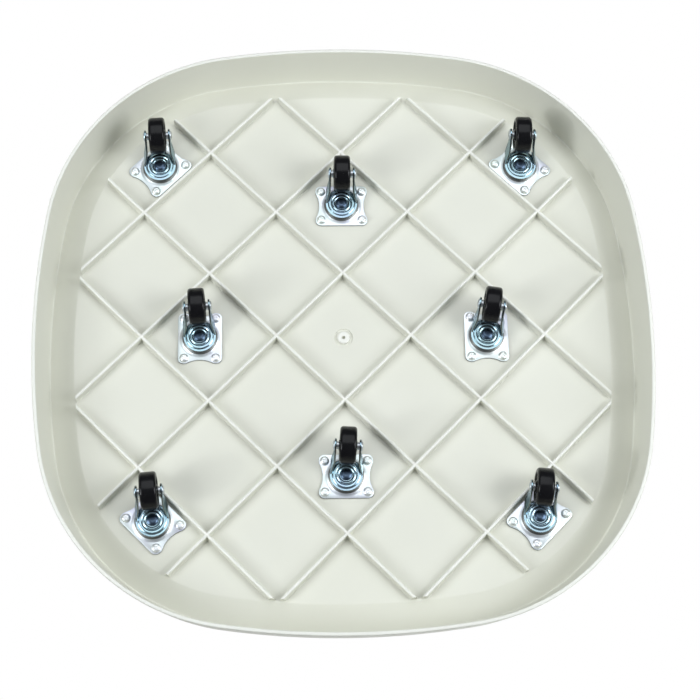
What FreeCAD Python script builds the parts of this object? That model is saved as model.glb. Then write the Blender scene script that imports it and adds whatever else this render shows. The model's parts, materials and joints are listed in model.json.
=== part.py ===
import FreeCAD, Part
import math
import os
import re

import Sketcher

# A rolling planter base: a shallow rounded-square tray on eight swivel plate casters.
# The part stands on its wheels on z = 0, with the middle of the tray on the z axis.

doc = FreeCAD.newDocument("rolling_planter_base")

# How many half cells of the rib lattice reach from the middle to the floor's edge, to the middle casters
# and to the last crossing on the diagonal
floor_cell_share = 4
middle_cell_share = 2
corner_cell_share = 2.5

# Driving dimensions in millimetres and degrees, from the bearing outwards; a text follows from the others
sizes = doc.addObject("Spreadsheet::Sheet", "Sizes")
dimensions = [
    # Clearances
    ("running_gap", 0.05),
    ("swivel_gap", 0.15),
    ("screw_hole_gap", 0.35),
    ("pilot_gap", 0.05),
    ("pilot_depth_gap", 0.4),
    ("hub_gap", 0.8),
    ("crown_gap", 3),
    ("plate_rib_gap", 2.41),
    ("cell_gap", 5),
    ("overrun", 5),
    # Swivel bearing
    ("ball_radius", 1.6),
    ("ball_circle_radius", 10),
    ("race_gap", 1.4),
    # King rivet
    ("king_radius", 3),
    ("king_head_radius", 5),
    ("king_head_height", 1.8),
    ("king_head_fillet", 1.2),
    ("king_top_radius", 5.2),
    ("king_top_height", 1.6),
    # Top plate
    ("plate_wall", 1.6),
    ("dome_margin", 3.8),
    ("dome_taper", 2),
    ("dome_depth", 2.4),
    ("dome_radius", "=ball_circle_radius + 2 * ball_radius + dome_margin"),
    ("plate_rim", 2),
    ("plate_waist", 3),
    ("plate_waist_length", 24),
    ("plate_waist_rim", 3),
    ("plate_corner", 4.8),
    ("plate_radial", "=2 * (dome_radius + plate_rim)"),
    ("plate_tangential", "=2 * (dome_radius + plate_waist + plate_waist_rim)"),
    ("hole_side_margin", 5.5),
    ("hole_end_margin", 5),
    ("hole_radial", "=plate_radial - 2 * hole_side_margin"),
    ("hole_tangential", "=plate_tangential - 2 * hole_end_margin"),
    # Wheel
    ("wheel_radius", 16),
    ("tread_width", 14.2),
    ("tread_fillet", 3.2),
    ("wheel_recess", 1.2),
    ("wheel_rim_wall", 4.5),
    ("hub_width", 17.6),
    ("hub_radius", 5),
    # Axle rivet
    ("axle_radius", 2.4),
    ("axle_head_radius", 4),
    ("axle_head_height", 1.4),
    ("axle_head_fillet", 0.9),
    # Fork
    ("trail", 20),
    ("fork_wall", 1.6),
    ("crown_lip", 1.05),
    ("crown_radius", "=ball_circle_radius + 2 * ball_radius + crown_lip"),
    ("crown_reach", 9),
    ("fork_width", "=hub_width + 2 * hub_gap + 2 * fork_wall"),
    ("eye_radius", 5.5),
    ("eye_straight", 4),
    ("fork_bend_fillet", 2.4),
    ("race_ring_wall", 0.7),
    ("caster_height", "=2 * wheel_radius + crown_gap + fork_wall + race_gap + dome_depth + plate_wall"),
    # Diamond ribs under the floor, in cells that the middle casters' plates fit
    ("rib_wall", 3),
    ("rib_height", 8),
    ("middle_shift", 8),
    ("rib_half_diagonal", "=(plate_radial + plate_tangential) / 2 + middle_shift + rib_wall + cell_gap"),
    ("gate_radius", 6.5),
    ("gate_height", 0.8),
    # Where the casters stand
    ("middle_reach", f"={middle_cell_share} * rib_half_diagonal + middle_shift"),
    ("corner_step", "=plate_radial / 2 + rib_wall / 2 + plate_rib_gap"),
    ("corner_reach", f"={corner_cell_share} * rib_half_diagonal + corner_step * cos(45 deg)"),
    # Tray section, from the floor out to the skirt
    ("floor_half_width", f"={floor_cell_share} * rib_half_diagonal"),
    ("floor_wall", 4),
    ("floor_edge_fillet", 4),
    ("band_lap", 10),
    ("band_run", 22),
    ("crease_half_width", "=floor_half_width + band_run"),
    ("crease_rise", 10),
    ("crease_fillet", 3.5),
    ("skirt_lean", 9.5),
    ("skirt_wall", 3.4),
    ("skirt_clearance", 8),
    ("skirt_edge_fillet", 1),
    ("lip_fillet", 2.6),
    # Tray outline: four shallow side arcs joined by four corner arcs
    ("rim_half_width", "=crease_half_width + skirt_lean"),
    ("side_radius", 700),
    ("corner_radius", 180),
    # Screws
    ("screw_radius", 2),
    ("screw_length", 8.5),
    ("screw_head_radius", 4),
    ("screw_head_height", 2.4),
    ("screw_head_fillet", 1.4),
    ("screw_recess_width", 1.1),
    ("screw_recess_length", 4.4),
    ("screw_recess_depth", 1.3),
    # Raised round pads in the dish that the screws bite into and the pot stands on
    ("pad_margin", 6),
    ("pad_skin", 0.7),
    ("pad_radius", "=sqrt(hole_radial ^ 2 + hole_tangential ^ 2) / 2 + pad_margin"),
    ("pad_height", "=screw_length - plate_wall + pilot_depth_gap + pad_skin - floor_wall"),
    # How far each fork is turned off straight, in degrees
    ("lean_front_left", 3.5),
    ("lean_front_middle", -0.5),
    ("lean_front_right", -1.5),
    ("lean_left_middle", 4.5),
    ("lean_right_middle", -9),
    ("lean_back_left", 5),
    ("lean_back_middle", -3.5),
    ("lean_back_right", -5),
]
for row, (alias, size) in enumerate(dimensions, start=1):
    sizes.set(f"A{row}", alias)
    sizes.set(f"B{row}", str(size))
    sizes.setAlias(f"B{row}", alias)
doc.recompute()
aliases = {alias for alias, size in dimensions}

# Heights above the ground, each worked out from the casters up
floor_z = "caster_height"
plate_z = f"({floor_z} - plate_wall)"
dome_z = f"({plate_z} - dome_depth)"
crown_z = f"({dome_z} - race_gap)"
crown_under_z = f"({crown_z} - fork_wall)"
ball_z = f"({dome_z} - race_gap / 2)"
crease_z = f"({floor_z} + crease_rise)"
dish_z = f"({floor_z} + floor_wall)"
rim_top_z = f"({dish_z} + crease_rise)"
skirt_inner = "(rim_half_width - skirt_wall)"

# Each caster: its place's name, its direction from the middle, its reach and its plate's turn
casters = [
    ("front_left", -1, -1, "corner_reach", 45),
    ("front_middle", 0, -1, "middle_reach", 90),
    ("front_right", 1, -1, "corner_reach", -45),
    ("left_middle", -1, 0, "middle_reach", 0),
    ("right_middle", 1, 0, "middle_reach", 0),
    ("back_left", -1, 1, "corner_reach", -45),
    ("back_middle", 0, 1, "middle_reach", 90),
    ("back_right", 1, 1, "corner_reach", 45),
]


def sized(text):
    """Turn the sheet's words in an expression into references to its cells."""
    return re.sub(r"[a-z]\w*", lambda word: "Sizes." + word[0] if word[0] in aliases else word[0], text)


def number(text):
    """The present value of an expression."""
    result = sizes.evalExpression(sized(text))
    return float(getattr(result, "Value", result))


def bind(thing, **expressions):
    """Bind properties of an object to the sheet; two underscores stand for a dot."""
    for path, text in expressions.items():
        thing.setExpression(path.replace("__", "."), sized(str(text)))
    return thing


def put(thing, x="0", y="0", z="0", turn=None, axis=(0, 0, 1)):
    """Place an object at expressions, turned about an axis by an expression in degrees."""
    thing.Placement = FreeCAD.Placement(FreeCAD.Vector(), FreeCAD.Rotation(FreeCAD.Vector(*axis), 1))
    bind(thing, Placement__Base__x=x, Placement__Base__y=y, Placement__Base__z=z)
    bind(thing, Placement__Rotation__Angle=turn if turn is not None else "0")
    return thing


def sketch_on(body, name, role):
    """A sketch on one of a body's own origin planes."""
    sketch = body.newObject("Sketcher::SketchObject", name)
    plane = next(item for item in body.Origin.OriginFeatures if item.Role == role)
    sketch.AttachmentSupport = [(plane, "")]
    sketch.MapMode = "FlatFace"
    return sketch


def pin(sketch, geometry, point, x, y):
    """Hold a sketch point at two expressions, on an axis where one of them is zero."""
    for kind, axis, text in (("DistanceX", -2, x), ("DistanceY", -1, y)):
        if text == "0":
            sketch.addConstraint(Sketcher.Constraint("PointOnObject", geometry, point, axis))
            continue
        index = sketch.addConstraint(
            Sketcher.Constraint(kind, -1, 1, geometry, point, number(text)))
        sketch.setExpression(f"Constraints[{index}]", sized(text))


def draw_outline(sketch, corners):
    """Draw a closed outline through corners (x, y) or rounded corners (x, y, fillet)."""
    spots = [FreeCAD.Vector(number(corner[0]), number(corner[1]), 0) for corner in corners]
    count = len(corners)
    starts = []
    ends = []
    arcs = []
    for index, corner in enumerate(corners):
        here = spots[index]
        into = (spots[index - 1] - here).normalize()
        onward = (spots[(index + 1) % count] - here).normalize()
        if len(corner) == 2:
            starts.append(here)
            ends.append(here)
            arcs.append(None)
            continue
        radius = number(corner[2])
        half = into.getAngle(onward) / 2
        middle = (into + onward).normalize()
        centre = here + middle * (radius / math.sin(half))
        nearest = centre - middle * radius
        first = here + into * (radius / math.tan(half))
        last = here + onward * (radius / math.tan(half))
        ends.append(first)
        starts.append(last)
        arcs.append(Part.Arc(first, nearest, last))
    lines = []
    for index in range(count):
        line = Part.LineSegment(starts[index], ends[(index + 1) % count])
        lines.append(sketch.addGeometry(line, False))
    for index, corner in enumerate(corners):
        before = lines[index - 1]
        after = lines[index]
        if arcs[index] is None:
            sketch.addConstraint(Sketcher.Constraint("Coincident", before, 2, after, 1))
            pin(sketch, after, 1, corner[0], corner[1])
            continue
        arc = sketch.addGeometry(arcs[index], False)
        ahead = (sketch.getPoint(arc, 1) - sketch.getPoint(before, 2)).Length
        behind = (sketch.getPoint(arc, 2) - sketch.getPoint(before, 2)).Length
        near, far = (1, 2) if ahead < behind else (2, 1)
        sketch.addConstraint(Sketcher.Constraint("Tangent", before, 2, arc, near))
        sketch.addConstraint(Sketcher.Constraint("Tangent", after, 1, arc, far))
        radius = sketch.addConstraint(Sketcher.Constraint("Radius", arc, number(corner[2])))
        sketch.setExpression(f"Constraints[{radius}]", sized(corner[2]))
        tip = sketch.addGeometry(Part.Point(spots[index]), True)
        pin(sketch, tip, 1, corner[0], corner[1])
        sketch.addConstraint(Sketcher.Constraint("PointOnObject", tip, 1, before))
        sketch.addConstraint(Sketcher.Constraint("PointOnObject", tip, 1, after))
    return sketch


def draw_rounded_square(sketch, inset):
    """Draw the tray's outline, stepped in from the rim: side arcs and corner arcs, tangent all round."""
    half_width = number(f"rim_half_width - ({inset})")
    side = number(f"side_radius - ({inset})")
    corner = number(f"corner_radius - ({inset})")
    shift = half_width - side
    reach = (shift + math.sqrt(2 * (side - corner) ** 2 - shift ** 2)) / 2
    meet = math.degrees(math.atan2(reach, reach - shift))
    arcs = []
    for quarter in range(4):
        turn = 90 * quarter
        ahead = FreeCAD.Rotation(FreeCAD.Vector(0, 0, 1), turn)
        for centre, radius, first, last in (
            (FreeCAD.Vector(shift, 0, 0), side, -meet, meet),
            (FreeCAD.Vector(reach, reach, 0), corner, meet, 90 - meet),
        ):
            circle = Part.Circle(ahead.multVec(centre), FreeCAD.Vector(0, 0, 1), radius)
            arc = Part.ArcOfCircle(circle, math.radians(turn + first), math.radians(turn + last))
            arcs.append(sketch.addGeometry(arc, False))
    for index, arc in enumerate(arcs):
        sketch.addConstraint(Sketcher.Constraint("Tangent", arc, 2, arcs[(index + 1) % 8], 1))
    for quarter in range(1, 4):
        sketch.addConstraint(Sketcher.Constraint("Equal", arcs[0], arcs[2 * quarter]))
        sketch.addConstraint(Sketcher.Constraint("Equal", arcs[1], arcs[2 * quarter + 1]))
    for arc, radius in ((arcs[0], "side_radius"), (arcs[1], "corner_radius")):
        text = f"{radius} - ({inset})"
        index = sketch.addConstraint(Sketcher.Constraint("Radius", arc, number(text)))
        sketch.setExpression(f"Constraints[{index}]", sized(text))
    shifts = ("rim_half_width - side_radius", "0"), ("0", "rim_half_width - side_radius")
    mirrored = ("side_radius - rim_half_width", "0"), ("0", "side_radius - rim_half_width")
    for quarter, (x, y) in enumerate(shifts + mirrored):
        pin(sketch, arcs[2 * quarter], 3, x, y)
    return sketch


def revolve(name, corners, role="XZ_Plane", axis="V_Axis"):
    """A body turned from an outline in one of its origin planes."""
    body = doc.addObject("PartDesign::Body", name)
    sketch = draw_outline(sketch_on(body, name + "_section", role), corners)
    turned = body.newObject("PartDesign::Revolution", name + "_turned")
    turned.Profile = sketch
    turned.ReferenceAxis = (sketch, [axis])
    turned.Angle = 360
    body.Tip = turned
    return body


def extruded(name, corners, role_turn, length, back="0"):
    """A sheet's outline in an upright plane, drawn out along that plane's normal both ways."""
    sketch = doc.addObject("Sketcher::SketchObject", name + "_outline")
    sketch.Placement = role_turn
    draw_outline(sketch, corners)
    solid = doc.addObject("Part::Extrusion", name)
    solid.Base = sketch
    solid.DirMode = "Normal"
    solid.Solid = True
    bind(solid, LengthFwd=length, LengthRev=back)
    return solid


def cylinder(name, radius, height, **place):
    """A round bar along its own z."""
    return put(bind(doc.addObject("Part::Cylinder", name), Radius=radius, Height=height), **place)


def joined(name, pieces, kind="Part::MultiFuse"):
    """One solid, or one common part, made of several."""
    whole = doc.addObject(kind, name)
    whole.Shapes = pieces
    return whole


def cut(name, base, tool):
    """A solid less another."""
    result = doc.addObject("Part::Cut", name)
    result.Base = base
    result.Tool = tool
    return result


def gathered(name, pieces):
    """Separate solids under one name."""
    group = doc.addObject("Part::Compound", name)
    group.Links = pieces
    return group


def copy_of(master, name, **place):
    """A repeat of a piece at another place."""
    link = doc.addObject("App::Link", name)
    link.LinkedObject = master
    return put(link, **place)


# Rotations that stand a sketch's plane up: x across and z up, or y across and z up
upright_across = FreeCAD.Placement(FreeCAD.Vector(), FreeCAD.Rotation(FreeCAD.Vector(1, 0, 0), 90))
upright_along = FreeCAD.Placement(
    FreeCAD.Vector(), FreeCAD.Rotation(FreeCAD.Vector(1, 1, 1), 120))


# Tray shell: one section swept round the outline, closed by the dish's floor
shell = doc.addObject("PartDesign::Body", "tray_shell")
spine = draw_rounded_square(sketch_on(shell, "rim_line", "XY_Plane"), "0")
section = draw_outline(sketch_on(shell, "rim_section", "XZ_Plane"), [
    ("floor_half_width - band_lap", floor_z),
    ("floor_half_width", floor_z, "floor_edge_fillet"),
    ("crease_half_width", crease_z, "crease_fillet"),
    (skirt_inner, "skirt_clearance", "skirt_edge_fillet"),
    ("rim_half_width", "skirt_clearance", "skirt_edge_fillet"),
    ("crease_half_width + skirt_wall", rim_top_z, "lip_fillet"),
    ("crease_half_width", rim_top_z, "lip_fillet / 2"),
    ("floor_half_width", dish_z, "floor_edge_fillet"),
    ("floor_half_width - band_lap", dish_z),
])
doc.recompute()
sweep = shell.newObject("PartDesign::AdditivePipe", "rim_sweep")
sweep.Profile = section
sweep.Spine = (spine, [f"Edge{edge}" for edge in range(1, 9)])
shell.Tip = sweep
floor_line = draw_rounded_square(
    sketch_on(shell, "floor_line", "XY_Plane"), "rim_half_width - floor_half_width + band_lap / 2")
bind(floor_line, AttachmentOffset__Base__z=floor_z)
floor = shell.newObject("PartDesign::Pad", "floor_pad")
floor.Profile = floor_line
bind(floor, Length="floor_wall")
shell.Tip = floor

# Diamond ribs: bars both ways at 45 degrees, trimmed to the floor's edge
rib_spots_shares = (-5, -3, -1, 1, 3, 5)
ribs = []
for turn, way in ((45, "rising"), (-45, "falling")):
    for order, share in enumerate(rib_spots_shares, start=1):
        rib = bind(
            doc.addObject("Part::Box", f"rib_{way}_{order}"),
            Length="2 * rim_half_width", Width="rib_wall", Height="rib_height")
        offset = f"({share} * rib_half_diagonal * cos(45 deg) - rib_wall / 2)"
        put(rib,
            x=f"-rim_half_width * cos({turn} deg) - {offset} * sin({turn} deg)",
            y=f"-rim_half_width * sin({turn} deg) + {offset} * cos({turn} deg)",
            z=f"{floor_z} - rib_height", turn=turn)
        ribs.append(rib)
rib_limit_line = doc.addObject("Sketcher::SketchObject", "rib_limit_line")
draw_rounded_square(rib_limit_line, "rim_half_width - floor_half_width + floor_edge_fillet / 2")
rib_limit = doc.addObject("Part::Extrusion", "rib_limit")
rib_limit.Base = rib_limit_line
rib_limit.DirMode = "Normal"
rib_limit.Solid = True
bind(rib_limit, LengthFwd=dish_z)
lattice = joined("rib_lattice", [joined("rib_bars", ribs), rib_limit], "Part::MultiCommon")

# Gate mark: a low round boss in the middle of the floor's underside
gate = cylinder("gate_boss", "gate_radius", "gate_height + floor_wall / 2", z=f"{floor_z} - gate_height")

# Pads in the dish over the casters, and the pilot holes for the screws
pads = []
screw_places = []
for place, across, along, reach, plate_turn in casters:
    x = f"{across} * {reach}"
    y = f"{along} * {reach}"
    pads.append(cylinder(f"pad_{place}", "pad_radius", "pad_height + floor_wall / 2",
                         x=x, y=y, z=f"{dish_z} - floor_wall / 2"))
    for side_share, end_share in ((-0.5, -0.5), (0.5, -0.5), (-0.5, 0.5), (0.5, 0.5)):
        radial = f"({side_share} * hole_radial)"
        tangential = f"({end_share} * hole_tangential)"
        screw_places.append((
            f"{x} + {radial} * cos({plate_turn} deg) - {tangential} * sin({plate_turn} deg)",
            f"{y} + {radial} * sin({plate_turn} deg) + {tangential} * cos({plate_turn} deg)",
        ))
pilot = cylinder("pilot_hole", "screw_radius + pilot_gap",
                 "screw_length - plate_wall + pilot_depth_gap + overrun", z=f"{floor_z} - overrun")
pilots = [
    copy_of(pilot, f"pilot_{order}", x=x, y=y, z=f"{floor_z} - overrun")
    for order, (x, y) in enumerate(screw_places, start=1)
]
whole_tray = joined("whole_tray", [shell, lattice, gate] + pads)
whole_tray.Refine = True
tray = cut("tray", whole_tray, gathered("pilot_holes", pilots))

# Top plate: a stamped sheet with waisted ends, a dished middle that holds the ball race and four holes
plate = doc.addObject("PartDesign::Body", "plate_master")
sheet_line = draw_outline(sketch_on(plate, "plate_line", "XY_Plane"), [
    ("-plate_radial / 2", "-plate_tangential / 2", "plate_corner"),
    ("plate_radial / 2", "-plate_tangential / 2", "plate_corner"),
    ("plate_radial / 2", "plate_tangential / 2", "plate_corner"),
    ("-plate_radial / 2", "plate_tangential / 2", "plate_corner"),
])
bind(sheet_line, AttachmentOffset__Base__z=plate_z)
sheet_pad = plate.newObject("PartDesign::Pad", "plate_sheet")
sheet_pad.Profile = sheet_line
bind(sheet_pad, Length="plate_wall")
plate.Tip = sheet_pad
dome_slant = "dome_radius - dome_taper"
dome_section = draw_outline(sketch_on(plate, "dome_section", "XZ_Plane"), [
    ("0", dome_z),
    (dome_slant, dome_z, "plate_wall / 2"),
    ("dome_radius", plate_z),
    ("dome_radius", f"{plate_z} + plate_wall / 2"),
    ("0", f"{plate_z} + plate_wall / 2"),
])
dome = plate.newObject("PartDesign::Revolution", "plate_dome")
dome.Profile = dome_section
dome.ReferenceAxis = (dome_section, ["V_Axis"])
dome.Angle = 360
plate.Tip = dome
doc.recompute()
dish_section = draw_outline(sketch_on(plate, "dish_section", "XZ_Plane"), [
    ("0", f"{dome_z} + plate_wall"),
    (f"{dome_slant} - plate_wall / 2", f"{dome_z} + plate_wall"),
    ("dome_radius - plate_wall / 2", floor_z),
    ("dome_radius - plate_wall / 2", f"{floor_z} + overrun"),
    ("0", f"{floor_z} + overrun"),
])
race_arc = sketch_on(plate, "plate_race_section", "XZ_Plane")
race_arc.addGeometry(Part.Circle(
    FreeCAD.Vector(number("ball_circle_radius"), number(ball_z), 0), FreeCAD.Vector(0, 0, 1),
    number("ball_radius + swivel_gap")), False)
pin(race_arc, 0, 3, "ball_circle_radius", ball_z)
race_radius = race_arc.addConstraint(Sketcher.Constraint("Radius", 0, number("ball_radius + swivel_gap")))
race_arc.setExpression(f"Constraints[{race_radius}]", sized("ball_radius + swivel_gap"))
for section_sketch, name in ((dish_section, "plate_dish"), (race_arc, "plate_race")):
    groove = plate.newObject("PartDesign::Groove", name)
    groove.Profile = section_sketch
    groove.ReferenceAxis = (section_sketch, ["V_Axis"])
    groove.Angle = 360
    plate.Tip = groove
    doc.recompute()
holes = sketch_on(plate, "plate_holes_sketch", "XY_Plane")
bind(holes, AttachmentOffset__Base__z=f"{floor_z} + overrun")
waist_radius = "(plate_waist / 2 + plate_waist_length ^ 2 / (8 * plate_waist))"
waist_centre = f"(plate_tangential / 2 - plate_waist + {waist_radius})"
round_cuts = [("0", "0", "king_radius + running_gap")]
for side in (-1, 1):
    round_cuts.append(("0", f"{side} * {waist_centre}", waist_radius))
    for end in (-1, 1):
        round_cuts.append((f"{side} * hole_radial / 2", f"{end} * hole_tangential / 2",
                           "screw_radius + screw_hole_gap"))
for x, y, radius in round_cuts:
    ring = holes.addGeometry(Part.Circle(
        FreeCAD.Vector(number(x), number(y), 0), FreeCAD.Vector(0, 0, 1), number(radius)), False)
    pin(holes, ring, 3, x, y)
    ring_radius = holes.addConstraint(Sketcher.Constraint("Radius", ring, number(radius)))
    holes.setExpression(f"Constraints[{ring_radius}]", sized(radius))
punched = plate.newObject("PartDesign::Pocket", "plate_holes")
punched.Profile = holes
bind(punched, Length="dome_depth + plate_wall + 2 * overrun")
plate.Tip = punched

# Bearing balls: one ring of steel balls
ball_count = 14
ball_places = []
for order in range(ball_count):
    ball = bind(doc.addObject("Part::Sphere", f"ball_{order + 1}"), Radius="ball_radius")
    put(ball, x=f"ball_circle_radius * cos({order} * 360 deg / {ball_count})",
        y=f"ball_circle_radius * sin({order} * 360 deg / {ball_count})", z=ball_z)
    ball_places.append(ball)
balls = gathered("balls_master", ball_places)

# King rivet: a shank through crown and plate, headed at both ends
king_head_z = f"({crown_under_z} - swivel_gap)"
king_top_z = f"({dome_z} + plate_wall)"
king = revolve("king_master", [
    ("0", f"{king_head_z} - king_head_height"),
    ("king_head_radius", f"{king_head_z} - king_head_height", "king_head_fillet"),
    ("king_head_radius", king_head_z),
    ("king_radius", king_head_z),
    ("king_radius", king_top_z),
    ("king_top_radius", king_top_z),
    ("king_top_radius", f"{king_top_z} + king_top_height", "king_top_height / 2"),
    ("0", f"{king_top_z} + king_top_height"),
])

# Fork: a stamped crown with its race, and two legs bent in towards the axle
crown = revolve("crown", [
    ("king_radius + running_gap", crown_under_z),
    ("ball_circle_radius - 2 * ball_radius", crown_under_z),
    ("ball_circle_radius - ball_radius", f"{crown_under_z} - race_ring_wall", "race_ring_wall"),
    ("ball_circle_radius + ball_radius", f"{crown_under_z} - race_ring_wall", "race_ring_wall"),
    ("ball_circle_radius + 2 * ball_radius", crown_under_z),
    ("crown_radius", crown_under_z),
    ("crown_radius", crown_z, "fork_wall / 2"),
    ("king_radius + running_gap", crown_z),
])
knee_z = "(wheel_radius + eye_radius + eye_straight)"
leg_strip = extruded("leg_strip", [
    ("crown_radius - fork_wall - ball_radius", crown_z),
    ("crown_radius", crown_z, "fork_bend_fillet"),
    ("fork_width / 2", knee_z, "fork_bend_fillet"),
    ("fork_width / 2", "wheel_radius - eye_radius - overrun"),
    ("fork_width / 2 - fork_wall", "wheel_radius - eye_radius - overrun"),
    ("fork_width / 2 - fork_wall", knee_z, "fork_bend_fillet"),
    ("crown_radius - fork_wall", crown_under_z),
    ("crown_radius - fork_wall - ball_radius", crown_under_z),
], upright_across, "trail + eye_radius + overrun", "trail + eye_radius + overrun")
# Where the leg's two edges run into its round eye, as shares of the eye's radius from the axle
front_edge_shares = (-0.82, -0.57)
back_edge_shares = (0.97, 0.25)
leg_side = extruded("leg_side", [
    ("-crown_reach", f"{crown_z} + overrun"),
    ("-crown_reach", f"{crown_under_z} - eye_radius / 2", "fork_bend_fillet"),
    (f"trail + {front_edge_shares[0]} * eye_radius", f"wheel_radius + {front_edge_shares[1]} * eye_radius"),
    (f"trail + {back_edge_shares[0]} * eye_radius", f"wheel_radius + {back_edge_shares[1]} * eye_radius"),
    ("crown_reach + eye_radius / 2", f"{crown_z} + overrun"),
], upright_along, "crown_radius + overrun")
eye = cylinder("leg_eye", "eye_radius", "crown_radius + overrun",
               y="trail", z="wheel_radius", turn="90", axis=(0, 1, 0))
leg = joined("leg", [leg_strip, joined("leg_shape", [leg_side, eye])], "Part::MultiCommon")
other_leg = doc.addObject("Part::Mirroring", "other_leg")
other_leg.Source = leg
other_leg.Normal = FreeCAD.Vector(1, 0, 0)
fork_blank = joined("fork_blank", [crown, leg, other_leg])
axle_hole = cylinder("axle_hole", "axle_radius + running_gap", "fork_width + 2 * overrun",
                     x="-fork_width / 2 - overrun", y="trail", z="wheel_radius", turn="90", axis=(0, 1, 0))
race_tool = doc.addObject("Part::Torus", "crown_race")
put(bind(race_tool, Radius1="ball_circle_radius", Radius2="ball_radius + swivel_gap"), z=ball_z)
fork = cut("fork_master", fork_blank, joined("fork_cuts", [axle_hole, race_tool]))

# Wheel: a hub and a rounded tread, turned about the axle; its origin is one end of the hub
tread_step = "((hub_width - tread_width) / 2)"
wheel_web = "(wheel_radius - wheel_rim_wall)"
wheel_corners = [
    ("0", "axle_radius + running_gap"),
    ("0", "hub_radius"),
    (f"{tread_step} + wheel_recess", "hub_radius + wheel_recess"),
    (f"{tread_step} + wheel_recess", wheel_web),
    (tread_step, wheel_web),
    (tread_step, "wheel_radius", "tread_fillet"),
    (f"{tread_step} + tread_width", "wheel_radius", "tread_fillet"),
    (f"{tread_step} + tread_width", wheel_web),
    (f"{tread_step} + tread_width - wheel_recess", wheel_web),
    (f"{tread_step} + tread_width - wheel_recess", "hub_radius + wheel_recess"),
    ("hub_width", "hub_radius"),
    ("hub_width", "axle_radius + running_gap"),
]
wheel = revolve("wheel_master", wheel_corners, "XY_Plane", "H_Axis")

# Axle rivet: a bar through both legs and the wheel, headed at both ends; its origin is one head's end
axle_length = "fork_width + 2 * axle_head_height"
axle = revolve("axle_master", [
    ("0", "0"),
    ("0", "axle_head_radius", "axle_head_fillet"),
    ("axle_head_height", "axle_head_radius"),
    ("axle_head_height", "axle_radius"),
    ("axle_head_height + fork_width", "axle_radius"),
    ("axle_head_height + fork_width", "axle_head_radius"),
    (axle_length, "axle_head_radius", "axle_head_fillet"),
    (axle_length, "0"),
], "XY_Plane", "H_Axis")

# Screw: a pan head with a cross recess, driven up through the plate into the tray
screw_blank = revolve("screw_blank", [
    ("0", f"{plate_z} - screw_head_height"),
    ("screw_head_radius", f"{plate_z} - screw_head_height", "screw_head_fillet"),
    ("screw_head_radius", plate_z),
    ("screw_radius", plate_z),
    ("screw_radius", f"{plate_z} + screw_length - screw_radius"),
    ("0", f"{plate_z} + screw_length"),
])
recess_bars = []
for name, length, width in (
    ("recess_bar", "screw_recess_length", "screw_recess_width"),
    ("recess_cross_bar", "screw_recess_width", "screw_recess_length"),
):
    bar = bind(doc.addObject("Part::Box", name), Length=length, Width=width,
               Height="screw_recess_depth + overrun")
    recess_bars.append(put(bar, x=f"-{length} / 2", y=f"-{width} / 2",
                           z=f"{plate_z} - screw_head_height - overrun"))
screw = cut("screw_master", screw_blank, joined("recess", recess_bars))
screws = [
    copy_of(screw, f"screw_{order}", x=x, y=y)
    for order, (x, y) in enumerate(screw_places, start=1)
]
mounting_screws = gathered("mounting_screws", screws)

# The eight casters: repeats of the same pieces, each fork turned its own way
pieces = [tray, mounting_screws]
for place, across, along, reach, plate_turn in casters:
    x = f"{across} * {reach}"
    y = f"{along} * {reach}"
    turn = f"(180 - lean_{place})"
    pieces.append(copy_of(plate, f"top_plate_{place}", x=x, y=y, turn=plate_turn))
    pieces.append(copy_of(king, f"king_rivet_{place}", x=x, y=y))
    pieces.append(copy_of(balls, f"bearing_balls_{place}", x=x, y=y, turn=turn))
    pieces.append(copy_of(fork, f"fork_{place}", x=x, y=y, turn=turn))
    for name, master, length in (("wheel", wheel, "hub_width"), ("axle", axle, f"({axle_length})")):
        pieces.append(copy_of(
            master, f"{name}_{place}",
            x=f"{x} - {length} / 2 * cos({turn} * 1 deg) - trail * sin({turn} * 1 deg)",
            y=f"{y} - {length} / 2 * sin({turn} * 1 deg) + trail * cos({turn} * 1 deg)",
            z="wheel_radius", turn=turn))
doc.recompute()

# Nothing is written unless every object and every piece came out sound
for thing in doc.Objects:
    if "Invalid" in thing.State or "Error" in thing.State:
        raise RuntimeError(f"{thing.Label} failed to build: {thing.State}")
shapes = {}
for piece in pieces:
    shape = Part.getShape(piece)
    if shape.isNull() or not shape.isValid() or not shape.Solids:
        raise RuntimeError(f"{piece.Label} has no sound shape")
    shapes[piece.Label] = shape
os.makedirs("parts", exist_ok=True)
for label, shape in shapes.items():
    shape.exportStep(f"parts/{label}.step")
print(len(shapes), "pieces,", sum(len(shape.Solids) for shape in shapes.values()), "solids")
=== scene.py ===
import json
import math

import bmesh
import bpy
from mathutils import Matrix, Vector


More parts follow.
